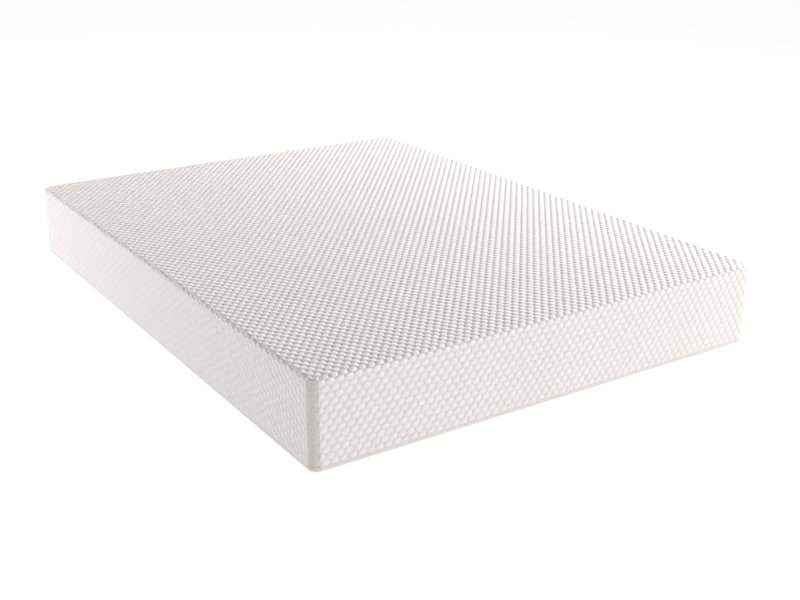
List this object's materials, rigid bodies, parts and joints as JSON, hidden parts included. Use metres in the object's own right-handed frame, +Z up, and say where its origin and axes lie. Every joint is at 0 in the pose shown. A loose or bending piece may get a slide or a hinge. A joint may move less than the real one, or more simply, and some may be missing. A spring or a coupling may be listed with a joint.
{
  "type": "memory foam mattress",
  "caption": "Rectangular memory foam mattress: foam slabs in a knitted fire barrier, inside a puffed knit cover that zips off round the bottom edge.",
  "frame": {"origin": "centre of the underside, on the surface the mattress lies on", "axes": "+Z up out of the sleeping surface, +Y along the length towards the head end, +X across the width, to the right for someone standing at the foot end"},
  "size_m": [1.524, 2.032, 0.254],
  "materials": {
    "puffed_knit": "matte",
    "hem_knit": "matte",
    "base_fabric": "matte",
    "woven_tape": "matte",
    "zip_coil": "satin",
    "zip_metal": "satin",
    "barrier_knit": "matte",
    "memory_foam": "matte",
    "transition_foam": "matte",
    "support_foam": "matte"
  },
  "bodies": {
    "core": {"memory_foam": "memory_foam", "transition_foam": "transition_foam", "support_foam": "support_foam", "barrier_sleeve": "barrier_knit", "barrier_end_head": "barrier_knit", "barrier_end_foot": "barrier_knit", "cover_base": "base_fabric", "zip_tape_lower": "woven_tape", "zip_coil_lower": "zip_coil", "zip_stop_lower": "zip_metal"},
    "cover": {"cover_upper": "puffed_knit", "hem_band": "hem_knit", "corner_seam_head_right": "woven_tape", "corner_seam_head_left": "woven_tape", "corner_seam_foot_left": "woven_tape", "corner_seam_foot_right": "woven_tape", "zip_tape_upper": "woven_tape", "zip_coil_upper": "zip_coil", "zip_stop_upper": "zip_metal"},
    "slider": {"zip_slider": "zip_metal"},
    "pull": {"zip_pull": "zip_metal"}
  },
  "joints": [
    {"name": "cover_lift", "type": "slide", "parent": "core", "child": "cover", "axis": [0, 0, 1], "range_m": [0, 0.3]},
    {"name": "zip_slide", "type": "slide", "parent": "core", "child": "slider", "axis": [-1, 0, 0], "range_m": [0, 1.35]},
    {"name": "pull_swing", "type": "hinge", "parent": "slider", "child": "pull", "pos_m": [0.675, 1.0136, 0.008], "axis": [0, 0, -1], "range_deg": [0, 180]}
  ]
}
